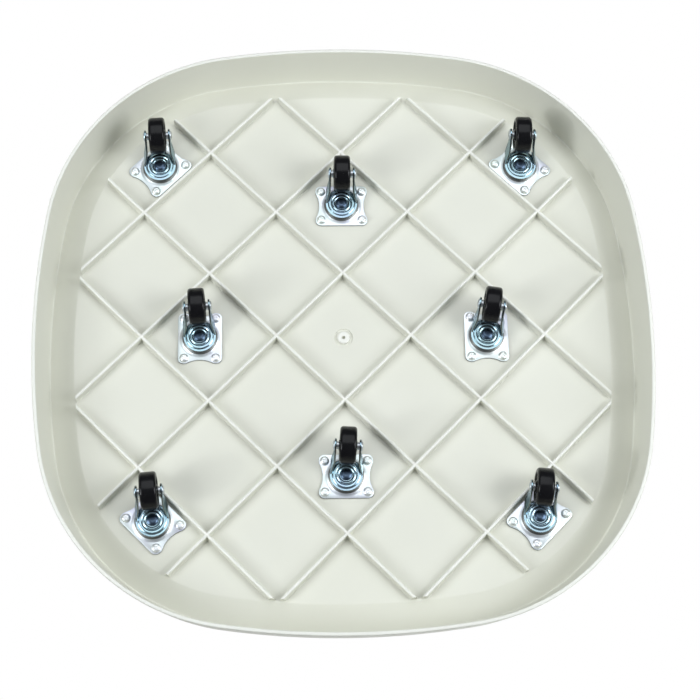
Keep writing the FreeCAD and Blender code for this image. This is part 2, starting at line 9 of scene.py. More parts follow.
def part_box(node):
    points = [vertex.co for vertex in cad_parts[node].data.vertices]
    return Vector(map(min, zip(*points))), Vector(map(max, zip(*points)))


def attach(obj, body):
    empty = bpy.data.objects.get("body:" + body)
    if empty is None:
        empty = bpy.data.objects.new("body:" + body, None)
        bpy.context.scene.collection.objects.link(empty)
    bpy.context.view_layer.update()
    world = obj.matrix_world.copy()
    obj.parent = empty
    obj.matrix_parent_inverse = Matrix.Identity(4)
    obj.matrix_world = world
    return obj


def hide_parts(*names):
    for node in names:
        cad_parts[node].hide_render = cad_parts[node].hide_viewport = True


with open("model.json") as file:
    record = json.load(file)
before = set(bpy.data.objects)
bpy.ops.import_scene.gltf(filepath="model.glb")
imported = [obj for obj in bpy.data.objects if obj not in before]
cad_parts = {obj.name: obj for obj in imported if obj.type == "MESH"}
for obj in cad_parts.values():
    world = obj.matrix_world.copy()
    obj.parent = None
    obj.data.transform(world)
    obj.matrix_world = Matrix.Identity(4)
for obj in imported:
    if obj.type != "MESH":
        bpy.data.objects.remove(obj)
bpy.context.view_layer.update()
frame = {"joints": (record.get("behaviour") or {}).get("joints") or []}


# Tray shell: a shallow rounded-square dish, injection moulded in ivory-grey polypropylene in one shot.
# From the floor a sloped band rises to the rim, and there a deep skirt hangs down round the casters.
tray_low, tray_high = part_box("tray")
skirt_z = tray_low.z
rim_z = tray_high.z
floor_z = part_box("top_plate_front_left")[1].z
floor_wall = 0.004
dish_z = floor_z + floor_wall
rim_half = 0.2635
side_radius = 0.7
corner_radius = 0.18
floor_half = 0.232
crease_half = 0.254
crease_rise = 0.01
skirt_wall = 0.0034
lip_depth = skirt_wall / 8
floor_rounding = 0.0011
crease_rounding = 0.0018
lip_inner_rounding = 0.001
lip_outer_rounding = 0.0016
rim_outer_rounding = 0.0021
rim_inner_rounding = 0.0004
flat_lap = 0.01
side_steps = 20
corner_steps = 36
rounding_steps = 5
weld = 1e-6

# The outline is four shallow side arcs joined by four corner arcs
side_shift = rim_half - side_radius
corner_place = (side_shift + math.sqrt(2 * (side_radius - corner_radius) ** 2 - side_shift ** 2)) / 2
side_turn = math.atan2(corner_place, corner_place - side_shift)
corner_turn = math.pi / 2 - 2 * side_turn


def draw_outline(bm, corners, plane="XZ"):
    """Draw one flat face through corners (across, up), rounded where a third number says how far back."""
    across, up = ("XYZ".index(letter) for letter in plane)
    spots = []
    for corner in corners:
        spot = Vector((0, 0, 0))
        spot[across] = corner[0]
        spot[up] = corner[1]
        spots.append(bm.verts.new(spot))
    bm.faces.new(spots)
    for spot, corner in zip(spots, corners):
        if len(corner) == 3:
            bmesh.ops.bevel(bm, geom=[spot], offset=corner[2], offset_type="OFFSET",
                            segments=rounding_steps, profile=0.5, affect="VERTICES", material=-1)


def carry_round(bm, profile):
    """Carry a profile drawn at the middle of the right-hand side once round the tray's outline."""
    points = [item for item in profile if isinstance(item, bmesh.types.BMVert)]
    back_to_corner = Matrix.Rotation(-side_turn, 3, "Z")
    bmesh.ops.rotate(bm, verts=points, cent=(side_shift, 0, 0), matrix=back_to_corner)
    for quarter in range(4):
        ahead = Matrix.Rotation(math.radians(90 * quarter), 3, "Z")
        for centre, angle, steps in (
            (Vector((side_shift, 0, 0)), 2 * side_turn, side_steps),
            (Vector((corner_place, corner_place, 0)), corner_turn, corner_steps),
        ):
            spun = bmesh.ops.spin(bm, geom=profile, cent=ahead @ centre, axis=(0, 0, 1),
                                  angle=angle, steps=steps)
            profile = spun["geom_last"]
    bmesh.ops.remove_doubles(bm, verts=bm.verts, dist=weld)


def mark(bm, name, chosen):
    """Mark the chosen faces in an attribute of that name, which the piece's finish reads."""
    bm.normal_update()
    layer = bm.faces.layers.float.new(name)
    for face in bm.faces:
        face[layer] = float(chosen(face))


shell = bmesh.new()
draw_outline(shell, [
    (floor_half - flat_lap, floor_z),
    (floor_half, floor_z, floor_rounding),
    (crease_half, floor_z + crease_rise, crease_rounding),
    (rim_half - skirt_wall, skirt_z, lip_inner_rounding),
    (rim_half, skirt_z, lip_outer_rounding),
    (crease_half + skirt_wall, rim_z, rim_outer_rounding),
    (crease_half, rim_z, rim_inner_rounding),
    (floor_half, dish_z, floor_rounding),
    (floor_half - flat_lap, dish_z),
])
bmesh.ops.delete(shell, geom=shell.faces[:], context="FACES_ONLY")
inner_end = [edge for edge in shell.edges
             if all(vert.co.x < floor_half - flat_lap / 2 for vert in edge.verts)]
bmesh.ops.delete(shell, geom=inner_end, context="EDGES")
carry_round(shell, shell.verts[:] + shell.edges[:])
# The lip's bottom edge is marked for a painted highlight, paler than the plastic
mark(shell, "crest", lambda face: face.calc_center_median().z < skirt_z + lip_depth)


# Gate mark: the spot in the middle of the floor's underside where the melt entered the mould.
# It is part of the moulding: a raised stub with a torn hole, standing in a shallow round pit.
gate_pit = 0.0082
gate_pit_depth = 0.001
gate_pit_draft = 0.0004
gate_stub = 0.0053
gate_stub_draft = 0.0006
gate_stub_rounding = 0.0006
gate_rise = 0.0011
gate_hole = 0.0015
gate_hole_depth = 0.0022
gate_hole_draft = 0.0005
gate_rounding = 0.0003
gate_lid_z = floor_z + gate_hole_depth + gate_pit_depth


def turn_piece(corners, steps):
    """Turn a round piece about z from its half section (radius, height); its poles come out closed."""
    bm = bmesh.new()
    draw_outline(bm, corners)
    bmesh.ops.delete(bm, geom=bm.faces[:], context="FACES_ONLY")
    on_axis = [edge for edge in bm.edges if all(vert.co.x < weld for vert in edge.verts)]
    bmesh.ops.delete(bm, geom=on_axis, context="EDGES")
    bmesh.ops.spin(bm, geom=bm.verts[:] + bm.edges[:], cent=(0, 0, 0), axis=(0, 0, 1),
                   angle=2 * math.pi, steps=steps, use_merge=True)
    bmesh.ops.remove_doubles(bm, verts=bm.verts, dist=weld)
    return bm


def add_to(bm, other, place=Matrix()):
    """Add a copy of another mesh's faces at a place."""
    spare = bpy.data.meshes.new("spare")
    other.to_mesh(spare)
    spare.transform(place)
    bm.from_mesh(spare)
    bpy.data.meshes.remove(spare)


gate = turn_piece([
    (gate_pit, floor_z),
    (gate_pit - gate_pit_draft, floor_z + gate_pit_depth, gate_rounding),
    (gate_stub + gate_stub_draft, floor_z + gate_pit_depth, gate_rounding),
    (gate_stub, floor_z - gate_rise, gate_stub_rounding),
    (gate_hole, floor_z - gate_rise, gate_rounding),
    (gate_hole - gate_hole_draft, floor_z + gate_hole_depth, gate_rounding),
    (0, floor_z + gate_hole_depth),
    (0, gate_lid_z),
    (gate_pit, gate_lid_z),
], steps=40)

# The lid and the wall under it only close the section for drawing, and come away
lid = [face for face in gate.faces if face.calc_center_median().z > gate_lid_z - weld
       or all(abs(vert.co.xy.length - gate_pit) < weld for vert in face.verts)]
bmesh.ops.delete(gate, geom=lid, context="FACES")
# The gate stub's lower faces are marked for the same painted highlight
mark(gate, "crest", lambda face: face.calc_center_median().z < floor_z - gate_rise / 2)
add_to(shell, gate)

# The floor's two faces fill the rings that shell and gate leave open; a last fill closes any gap
for level in (floor_z, dish_z):
    ring = [edge for edge in shell.edges if edge.is_boundary
            and all(abs(vert.co.z - level) < weld for vert in edge.verts)]
    bmesh.ops.triangle_fill(shell, edges=ring, use_beauty=True)
bmesh.ops.holes_fill(shell, edges=[edge for edge in shell.edges if edge.is_boundary])


# Diamond ribs: thin drafted bars that stiffen the floor, moulded under it both ways in the same shot.
# Their crests are rounded and their feet filleted, and they end just inside the sloped band.
rib_half_diagonal = 0.058
rib_turn = math.radians(45)
outermost_rib = 5
rib_height = 0.008
rib_crest = 0.0025
rib_crest_rounding = 0.0011
rib_root = 0.0032
rib_foot = 0.0046
rib_foot_height = 0.0008
rib_foot_rounding = 0.0004
rib_end_inset = 0.0016
root_depth = floor_wall / 4

# Ribs of one direction lie a hair deeper, so that no two crests share a plane where they cross
rib_step = 0.00004


def thicken(bm, vector):
    """Draw the mesh's one face out into a solid."""
    drawn = bmesh.ops.extrude_face_region(bm, geom=bm.faces[:])
    moved = [item for item in drawn["geom"] if isinstance(item, bmesh.types.BMVert)]
    bmesh.ops.translate(bm, verts=moved, vec=vector)


def trim(bm, spot, outward):
    """Cut away what lies beyond a plane, and close the cut."""
    whole = bm.verts[:] + bm.edges[:] + bm.faces[:]
    cut = bmesh.ops.bisect_plane(bm, geom=whole, dist=weld, plane_co=spot, plane_no=outward,
                                 clear_outer=True)
    rim = [item for item in cut["geom_cut"]
           if isinstance(item, bmesh.types.BMEdge) and item.is_boundary]
    if rim:
        bmesh.ops.edgeloop_fill(bm, edges=rim)


rib = bmesh.new()
draw_outline(rib, [
    (-rib_foot / 2, floor_z + root_depth),
    (-rib_foot / 2, floor_z),
    (-rib_root / 2, floor_z - rib_foot_height, rib_foot_rounding),
    (-rib_crest / 2, floor_z - rib_height, rib_crest_rounding),
    (rib_crest / 2, floor_z - rib_height, rib_crest_rounding),
    (rib_root / 2, floor_z - rib_foot_height, rib_foot_rounding),
    (rib_foot / 2, floor_z),
    (rib_foot / 2, floor_z + root_depth),
], "YZ")
thicken(rib, (2 * rim_half, 0, 0))
bmesh.ops.translate(rib, verts=rib.verts, vec=(-rim_half, 0, 0))
lattice = bmesh.new()
for turn, lift in ((rib_turn, 0), (-rib_turn, rib_step)):
    for step in range(-outermost_rib, outermost_rib + 1, 2):
        offset = Vector((0, step * rib_half_diagonal * math.cos(rib_turn), lift))
        add_to(lattice, rib, Matrix.Rotation(turn, 4, "Z") @ Matrix.Translation(offset))
floor_edge = bmesh.new()
carry_round(floor_edge, [floor_edge.verts.new((floor_half - rib_end_inset, 0, floor_z))])
for edge in floor_edge.edges:
    first, last = (vert.co for vert in edge.verts)
    middle = (first + last) / 2
    outward = (last - first).cross(Vector((0, 0, 1)))
    trim(lattice, middle, outward if outward.dot(middle) > 0 else -outward)
# The ribs' crests are marked for the same painted highlight
mark(lattice, "crest", lambda face: face.calc_center_median().z < floor_z - rib_height + rib_crest / 2)
add_to(shell, lattice)


# Pads: round bosses moulded in the dish over the casters, in the same shot as the floor.
# The pot stands on their flat tops, and the casters' screws end in blind holes inside them.
pad_radius = 0.0285
pad_height = 0.004
pad_draft = 0.0004
pad_rounding = 0.0009
pad = turn_piece([
    (0, dish_z - root_depth),
    (pad_radius + pad_draft, dish_z - root_depth),
    (pad_radius + pad_draft, dish_z),
    (pad_radius, dish_z + pad_height, pad_rounding),
    (0, dish_z + pad_height),
], steps=72)


def joint_spots(kind):
    """Where the joints of one kind are, by the names of their casters."""
    return {joint["name"].removeprefix(kind): Vector(joint["pos_m"])
            for joint in frame["joints"] if joint["name"].startswith(kind)}


def caster_place(pivot, heading=0):
    """The place of a piece that is modelled round a caster's pivot, turned to its heading."""
    return Matrix.Translation((pivot.x, pivot.y, 0)) @ Matrix.Rotation(heading, 4, "Z")


pivots = joint_spots("swivel_")
for pivot in pivots.values():
    add_to(shell, pad, caster_place(pivot))


# Tray moulding: shell, gate mark, ribs and pads come out of the mould as one piece of satin plastic.
# Its crests, its lip and its gate stub carry a painted highlight, paler than the rest, and the casters
# are screwed to its underside.
ivory_deep = (0.70, 0.70, 0.61, 1)
ivory_pale = (0.75, 0.75, 0.67, 1)
ivory_speck = (0.66, 0.655, 0.56, 1)
# Painted highlight: the pale ivory laid on the marked crests, lip and gate stub
ivory_painted_highlight = (0.83, 0.83, 0.77, 1)
scene = bpy.context.scene


def seal(bm, name, sharp=32):
    """Turn all faces outwards and make a mesh, smooth but for edges sharper than an angle in degrees."""
    bmesh.ops.recalc_face_normals(bm, faces=bm.faces)
    mesh = bpy.data.meshes.new(name)
    bm.to_mesh(mesh)
    bm.free()
    mesh.shade_smooth()
    mesh.set_sharp_from_angle(angle=math.radians(sharp))
    return mesh


class Signal:
    """A shader value; arithmetic on it adds Math nodes."""

    def __init__(self, sheet, socket):
        self.sheet = sheet
        self.socket = socket

    def combine(self, operation, first, second):
        return self.sheet.node("ShaderNodeMath", {"operation": operation},
                               {"Value": first, "Value_001": second})

    def __add__(self, other):
        return self.combine("ADD", self, other)

    def __radd__(self, other):
        return self.combine("ADD", other, self)

    def __mul__(self, other):
        return self.combine("MULTIPLY", self, other)

    def __rmul__(self, other):
        return self.combine("MULTIPLY", other, self)


class NodeSheet:
    """A sheet of shader nodes, and the ways to add to it."""

    def __init__(self, tree):
        self.tree = tree

    def feed(self, node, sockets):
        """Give a node's sockets, found by their identifiers, their values or links."""
        for key, value in sockets.items():
            socket = next(item for item in node.inputs if item.identifier == key)
            if isinstance(value, Signal):
                self.tree.links.new(value.socket, socket)
            else:
                socket.default_value = value

    def node(self, kind, settings=None, sockets=None, output=None):
        """Add a node with its settings first, then its sockets; the result is one of its outputs."""
        made = self.tree.nodes.new(kind)
        for key, value in (settings or {}).items():
            if key == "stops":
                while len(made.color_ramp.elements) < len(value):
                    made.color_ramp.elements.new(1)
                for element, (position, colour) in zip(made.color_ramp.elements, value):
                    element.position = position
                    element.color = (*colour, 1)
            else:
                setattr(made, key, value)
        self.feed(made, sockets or {})
        found = next(item for item in made.outputs if output in (None, item.identifier))
        return Signal(self, found)


class Finish(NodeSheet):
    """A surface finish: one material on its own sheet of nodes."""

    def __init__(self, name):
        self.material = bpy.data.materials.new(name)
        self.material.use_nodes = True
        super().__init__(self.material.node_tree)
        self.shader = next(node for node in self.tree.nodes if node.type == "BSDF_PRINCIPLED")
        self.place = self.node("ShaderNodeTexCoord", output="Object")

    def noise(self, scale, detail=2, stretch=(1, 1, 1)):
        """Soft noise from 0 to 1 over the piece, in cycles a metre, stretched along the axes."""
        spread = self.node("ShaderNodeMapping", sockets={"Vector": self.place, "Scale": stretch})
        return self.node("ShaderNodeTexNoise",
                         sockets={"Vector": spread, "Scale": scale, "Detail": detail})

    def marked(self, name):
        """The attribute of that name, 1 on the marked faces."""
        return self.node("ShaderNodeAttribute", {"attribute_name": name}, output="Fac")

    def blend(self, share, first, second, way="MIX"):
        """A mix of two colours."""
        return self.node("ShaderNodeMix", {"data_type": "RGBA", "blend_type": way},
                         {"Factor_Float": share, "A_Color": first, "B_Color": second}, "Result_Color")

    def bump(self, height, depth):
        """A fine relief of that depth in metres."""
        return self.node("ShaderNodeBump", sockets={"Height": height, "Distance": depth, "Strength": 1.0})


def ivory_plastic():
    """Satin polypropylene with a fine grain: faint clouds in the pigment, and a painted highlight on the
    crests and lip.
    """
    finish = Finish("ivory_plastic")
    clouds = finish.noise(scale=11, detail=4)
    specks = finish.noise(scale=420, detail=3)
    grain = finish.noise(scale=2600)
    pigment = finish.blend(clouds, ivory_deep, ivory_pale)
    speckled = finish.blend(0.12 * specks, pigment, ivory_speck)
    finish.feed(finish.shader, {
        # Marked faces take the painted highlight colour
        "Base Color": finish.blend(finish.marked("crest"), speckled, ivory_painted_highlight),
        "Roughness": 0.34 + 0.16 * grain + 0.08 * clouds,
        "Specular IOR Level": 0.45,
        "Normal": finish.bump(grain + 0.6 * specks, depth=0.00003),
    })
    return finish


def fit(mesh, name, body, node, finish, place=Matrix()):
    """Stand a copy of a mesh at its place, on its body, in place of its CAD node."""
    copy = mesh.copy()
    copy.name = name
    copy.transform(place)
    copy.materials.append(finish.material)
    piece = bpy.data.objects.new(name, copy)
    scene.collection.objects.link(piece)
    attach(piece, body)
    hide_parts(node)


fit(seal(shell, "tray_shell"), "moulded_tray", "base", "tray", ivory_plastic())


# Top plates: waisted plates stamped from bright zinc-plated sheet steel, one under each screw pattern.
# The middle is dished down to hold the upper half of the ball race, and screws hold the four corners.
plate_wall = 0.0016
plate_z = floor_z - plate_wall
plate_low, plate_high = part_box("top_plate_front_middle")
plate_half_tangential, plate_half_radial = (plate_high - plate_low).xy / 2
plate_corner = 0.0048
waist_half = 0.012
waist_depth = 0.003
waist_rounding = 0.9 * waist_half
waist_end_rounding = 0.0012
dome_radius = 0.017
dome_taper = 0.0045
dome_depth = 0.0024
dome_z = plate_z - dome_depth
dome_edge_rounding = 0.0018
dome_root_rounding = 0.0012
dome_foot = 0.0014
dome_lap = 0.0001
race_radius = 0.0152
race_z = dome_z + dome_depth * (race_radius - dome_radius + dome_taper) / dome_taper
edge_break = 0.0003
plate_edge_lean = 0.5
plate_pale = (0.88, 0.92, 0.95, 1)
plate_deep = (0.80, 0.86, 0.90, 1)
# Dark grey of the painted shade on the plates' edges, the dome's race, the crown's rim and the legs'
# edges
painted_shade_grey = (0.20, 0.21, 0.20, 1)

# The plating's film: violet, clear, green and straw, each at its place along the noise
film_tints = [
    (0.30, (0.93, 0.90, 1.0)),
    (0.45, (1.0, 1.0, 1.0)),
    (0.60, (0.95, 1.0, 0.96)),
    (0.72, (1.0, 0.98, 0.93)),
]


def break_edges(bm, width, least=30):
    """Round every edge that is sharper than an angle in degrees."""
    sharp = [edge for edge in bm.edges if edge.is_manifold
             and edge.calc_face_angle() > math.radians(least)]
    bmesh.ops.bevel(bm, geom=sharp, offset=width, offset_type="OFFSET", segments=2, profile=0.5,
                    affect="EDGES", material=-1, clamp_overlap=True)


plate = bmesh.new()
plate_side = [
    (-plate_half_radial, -plate_half_tangential, plate_corner),
    (-waist_half, -plate_half_tangential, waist_end_rounding),
    (0, 2 * waist_depth - plate_half_tangential, waist_rounding),
    (waist_half, -plate_half_tangential, waist_end_rounding),
    (plate_half_radial, -plate_half_tangential, plate_corner),
]
other_side = [(-across, -along, rounding) for across, along, rounding in plate_side]
draw_outline(plate, plate_side + other_side, "XY")
bmesh.ops.translate(plate, verts=plate.verts, vec=(0, 0, plate_z))
thicken(plate, (0, 0, plate_wall))
break_edges(plate, edge_break)
# Painted shade: the plate's side edges are marked to take a dark grey shadow line
mark(plate, "sheared", lambda face: abs(face.normal.z) < plate_edge_lean)
dome = turn_piece([
    (0, dome_z),
    (dome_radius - dome_taper, dome_z, dome_edge_rounding),
    (race_radius, race_z),
    (dome_radius, plate_z - dome_lap, dome_root_rounding),
    (dome_radius + dome_foot, plate_z + dome_lap),
    (0, plate_z + plate_wall / 2),
], steps=64)

# The race inside the dome's edge gets painted shade too, dark grey for the shade under the fork's crown
mark(dome, "sheared", lambda face: face.calc_center_median().xy.length < race_radius
     and face.calc_center_median().z < plate_z)
add_to(plate, dome)
plate_mesh = seal(plate, "plate")


def zinc(name, pale, deep, roughness):
    """Bright zinc: blue-white metal with a faint coloured film and rolling marks, and painted shade in
    dark grey on marked faces.
    """
    finish = Finish(name)
    blotches = finish.noise(scale=90, detail=3)
    film = finish.noise(scale=38)
    marks = finish.noise(scale=900, stretch=(1, 0.12, 1))
    tint = finish.node("ShaderNodeValToRGB", {"stops": film_tints}, {"Fac": film}, "Color")
    metal = finish.blend(blotches, pale, deep)
    plated = finish.blend(1.0, metal, tint, way="MULTIPLY")
    finish.feed(finish.shader, {
        # Marked faces take the painted shade in dark grey
        "Base Color": finish.blend(finish.marked("sheared"), plated, painted_shade_grey),
        "Metallic": 1.0,
        "Roughness": roughness + 0.10 * blotches + 0.08 * marks,
        "Normal": finish.bump(marks + 0.5 * blotches, depth=0.00001),
    })
    return finish


plate_zinc = zinc("plate_zinc", plate_pale, plate_deep, roughness=0.30)
plate_places = {caster: caster_place(pivot, math.atan2(pivot.y, pivot.x))
                for caster, pivot in pivots.items()}
for caster, place in plate_places.items():
    fit(plate_mesh, f"caster_plate_{caster}", "base", f"top_plate_{caster}", plate_zinc,
        place)


# Mounting screws: zinc-plated pan heads with a cross recess, four to a plate.
# They are driven up through the plate's corners into blind holes in the tray's pads.
screw_radius = 0.002
screw_length = 0.0085
screw_tip_z = plate_z + screw_length
screw_head_radius = 0.004
screw_head_height = 0.0024
screw_head_z = plate_z - screw_head_height
head_flat = 0.0021
head_flat_rise = 0.00004
head_flat_z = screw_head_z + head_flat_rise
head_shoulder_inset = 0.0004
head_shoulder_rise = 0.0005
head_shoulder_z = screw_head_z + head_shoulder_rise
head_rounding = 0.0012
hole_half_radial = 0.0135
hole_half_tangential = 0.018
recess_half_length = 0.0017
recess_half_width = 0.0004
recess_depth = 0.0008
recess_taper = 0.72
screw_pale = (0.90, 0.92, 0.92, 1)
screw_deep = (0.82, 0.85, 0.86, 1)

screw = turn_piece([
    (0, screw_head_z),
    (head_flat, head_flat_z),
    (screw_head_radius - head_shoulder_inset, head_shoulder_z, head_rounding),
    (screw_head_radius, plate_z),
    (screw_radius, plate_z),
    (screw_radius, screw_tip_z - screw_radius),
    (0, screw_tip_z),
], steps=28)
pole = [vert for vert in screw.verts if abs(vert.co.z - screw_head_z) < weld]
bmesh.ops.delete(screw, geom=pole, context="VERTS")
arm = [
    (recess_half_length, -recess_half_width),
    (recess_half_length, recess_half_width),
    (recess_half_width, recess_half_width),
]
cross = []
for quarter in range(4):
    cross += arm
    arm = [(-along, across) for across, along in arm]
recess = bmesh.new()
draw_outline(recess, cross, "XY")
bmesh.ops.translate(recess, verts=recess.verts, vec=(0, 0, head_flat_z))
mouth = recess.faces[:]
sunk = bmesh.ops.extrude_face_region(recess, geom=mouth, use_keep_orig=True)
floor_points = [item for item in sunk["geom"] if isinstance(item, bmesh.types.BMVert)]
bmesh.ops.scale(recess, verts=floor_points, vec=(recess_taper, recess_taper, 1))
bmesh.ops.translate(recess, verts=floor_points, vec=(0, 0, recess_depth))
bmesh.ops.delete(recess, geom=[face for face in mouth if face.is_valid], context="FACES_ONLY")
add_to(screw, recess)
open_edges = [edge for edge in screw.edges if edge.is_boundary]
bmesh.ops.triangle_fill(screw, edges=open_edges, use_beauty=True)

# Each screw stops at an angle of its own, by its corner (degrees) and its plate's x (degrees a metre)
turn_by_corner = 37
turn_by_place = 900
screws = bmesh.new()
for caster, place in plate_places.items():
    for side in (-1, 1):
        for end in (-1, 1):
            corner = Matrix.Translation((side * hole_half_radial, end * hole_half_tangential, 0))
            stop = math.radians(turn_by_corner * (side + 2 * end) + turn_by_place * pivots[caster].x)
            add_to(screws, screw, place @ corner @ Matrix.Rotation(stop, 4, "Z"))
screw_zinc = zinc("screw_zinc", screw_pale, screw_deep, roughness=0.34)
fit(seal(screws, "screws"), "pan_head_screws", "base", "mounting_screws", screw_zinc)


# King rivets: steel pins peened over at both ends, on which each fork swivels.
# The lower head shows as a dark dome in the middle of the crown.
king_radius = 0.003
king_low, king_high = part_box("king_rivet_front_left")
king_head_radius = 0.005
king_head_flat = 0.55 * king_head_radius
king_head_z = king_low.z
king_head_height = 0.0018
king_shoulder_z = king_head_z + king_head_height
king_head_wall = 0.0007
king_head_rounding = 0.001
king_edge_rounding = 0.0007
king_top_radius = 0.0052
king_top_z = king_high.z
king_pale = (0.12, 0.17, 0.24, 1)
king_deep = (0.05, 0.08, 0.13, 1)
king_mesh = seal(turn_piece([
    (0, king_head_z),
    (king_head_flat, king_head_z, king_head_rounding),
    (king_head_radius, king_shoulder_z - king_head_wall, king_edge_rounding),
    (king_head_radius, king_shoulder_z),
    (king_radius, king_shoulder_z),
    (king_radius, dome_z + plate_wall),
    (king_top_radius, dome_z + plate_wall),
    (king_top_radius, king_top_z, king_edge_rounding),
    (0, king_top_z),
], steps=40), "king_rivet")


def bare_steel(name, pale, deep, roughness):
    """Worked steel: a grey metal with darker burnish spots and fine scuffs."""
    finish = Finish(name)
    spots = finish.noise(scale=260, detail=3)
    scuffs = finish.noise(scale=1900, stretch=(1, 1, 0.2))
    finish.feed(finish.shader, {
        "Base Color": finish.blend(spots, pale, deep),
        "Metallic": 1.0,
        "Roughness": roughness + 0.14 * spots + 0.06 * scuffs,
        "Normal": finish.bump(scuffs, depth=0.000008),
    })
    return finish


king_steel = bare_steel("king_steel", king_pale, king_deep, roughness=0.22)
for caster, pivot in pivots.items():
    fit(king_mesh, f"swivel_rivet_{caster}", "base", f"king_rivet_{caster}", king_steel,
        caster_place(pivot))


# Bearing balls: a ring of hardened steel balls between the plate's dome and the fork's crown.
# They run in the two pressed races and show only as a dark line from the side.
ball_radius = 0.0016
ball_circle = 0.01
ball_count = 14
ball_drop = 0.0007
ball_pale = (0.62, 0.64, 0.66, 1)
ball_deep = (0.50, 0.52, 0.54, 1)
balls = bmesh.new()
for order in range(ball_count):
    angle = 2 * math.pi * order / ball_count
    spot = Vector((ball_circle * math.cos(angle), ball_circle * math.sin(angle), dome_z - ball_drop))
    bmesh.ops.create_uvsphere(balls, u_segments=14, v_segments=8, radius=ball_radius,
                              matrix=Matrix.Translation(spot))
balls_mesh = seal(balls, "balls", sharp=60)

# All that swivels is modelled with its wheel trailing along y, and then turned to its caster's heading
wheel_centres = joint_spots("roll_")
fork_places = {}
for caster, pivot in pivots.items():
    astern = wheel_centres[caster] - pivot
    fork_places[caster] = caster_place(pivot, math.atan2(-astern.x, astern.y))
ball_steel = bare_steel("ball_steel", ball_pale, ball_deep, roughness=0.10)
for caster, place in fork_places.items():
    fit(balls_mesh, f"race_balls_{caster}", f"swivel_{caster}", f"bearing_balls_{caster}",
        ball_steel, place)


# Forks: one stamping of zinc-plated sheet steel, with a round crown that carries the lower race.
# Two legs are bent down beside the wheel, drawn back to the axle, and end in round eyes.
fork_wall = 0.0016
fork_half = 0.0112
crown_radius = 0.01425
crown_gap = 0.0014
crown_z = dome_z - crown_gap
crown_under_z = crown_z - fork_wall
crown_under_rounding = 0.0004
crown_top_rounding = 0.0006
crown_reach = 0.009
strap_reach = 0.0105
bend_outer_rounding = 0.0022
bend_inner_rounding = 0.0012
eye_radius = 0.0055
wheel_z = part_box("wheel_front_left")[1].z / 2
trail = (wheel_centres["front_left"] - pivots["front_left"]).xy.length
eye = Vector((0, trail, wheel_z))
knee_rise = 0.004
knee_z = wheel_z + eye_radius + knee_rise
knee_rounding = 0.002
running_gap = 0.00005
# How far in from the crown's edge its painted shade reaches
crown_shade_rim = 0.0008
leg_edge_lean = 0.3
# Painted shade: the forks' zinc is a darker copy of the plates' zinc, standing in for its dim reflections
# under the plate
shaded_fork_pale = (0.43, 0.57, 0.64, 1)
shaded_fork_deep = (0.28, 0.41, 0.49, 1)

leg = bmesh.new()
draw_outline(leg, [
    (strap_reach, crown_z),
    (crown_radius, crown_z, bend_outer_rounding),
    (fork_half, knee_z, knee_rounding),
    (fork_half, wheel_z - eye_radius),
    (fork_half - fork_wall, wheel_z - eye_radius),
    (fork_half - fork_wall, knee_z, knee_rounding),
    (crown_radius - fork_wall, crown_under_z, bend_inner_rounding),
    (strap_reach, crown_under_z),
])
bmesh.ops.translate(leg, verts=leg.verts, vec=(0, -crown_reach, 0))
thicken(leg, (0, trail + eye_radius + crown_reach, 0))

# A leg's front and back edges run straight from the crown to the eye, and meet it in these directions
front_drop = 0.00275
back_reach = 0.01175
front_meets_eye = Vector((0, -0.82, -0.57))
back_meets_eye = Vector((0, 0.97, 0.25))
front_top = Vector((0, -crown_reach, crown_under_z - front_drop))
back_top = Vector((0, back_reach, crown_z))
front_slope = eye + eye_radius * front_meets_eye - front_top
back_slope = eye + eye_radius * back_meets_eye - back_top
trim(leg, front_top, -Vector((1, 0, 0)).cross(front_slope))
trim(leg, back_top, Vector((1, 0, 0)).cross(back_slope))

# Small cuts round the eye, from where the front edge meets it, down and round to the back edge
eye_cuts = 13
eye_first_cut = -145
eye_cut_turn = 13
for step in range(eye_cuts):
    angle = math.radians(eye_first_cut + eye_cut_turn * step)
    outward = Vector((0, math.cos(angle), math.sin(angle)))
    trim(leg, eye + eye_radius * outward, outward)
break_edges(leg, edge_break)
# Painted shade: the legs' front and back edges are marked to show as dark grey lines
mark(leg, "sheared", lambda face: abs(face.normal.x) < leg_edge_lean
     and abs(face.normal.y) > leg_edge_lean)

# The two rings pressed into the crown, from the rivet outwards: radius, drop under it and rounding
pressed_rings = [
    (0.0058, 0, 0.0003),
    (0.0066, 0.0005, 0.0003),
    (0.0074, 0.0005, 0.0003),
    (0.0083, -0.0001, 0.0003),
    (0.0092, 0.0007, 0.0004),
    (0.0110, 0.0007, 0.0005),
    (0.0122, 0, 0.0004),
]
fork = turn_piece([
    (king_radius + running_gap, crown_under_z),
    *((radius, crown_under_z - drop, rounding) for radius, drop, rounding in pressed_rings),
    (crown_radius, crown_under_z, crown_under_rounding),
    (crown_radius, crown_z, crown_top_rounding),
    (king_radius + running_gap, crown_z),
], steps=64)
# Painted shade: the crown's rim is marked dark grey, for the shade between crown and plate
mark(fork, "sheared", lambda face: face.calc_center_median().xy.length > crown_radius - crown_shade_rim)
for mirror in (1, -1):
    add_to(fork, leg, Matrix.Diagonal((mirror, 1, 1, 1)))
fork_mesh = seal(fork, "fork")
fork_zinc = zinc("fork_zinc", shaded_fork_pale, shaded_fork_deep, roughness=0.15)
for caster, place in fork_places.items():
    fit(fork_mesh, f"caster_fork_{caster}", f"swivel_{caster}", f"fork_{caster}", fork_zinc,
        place)


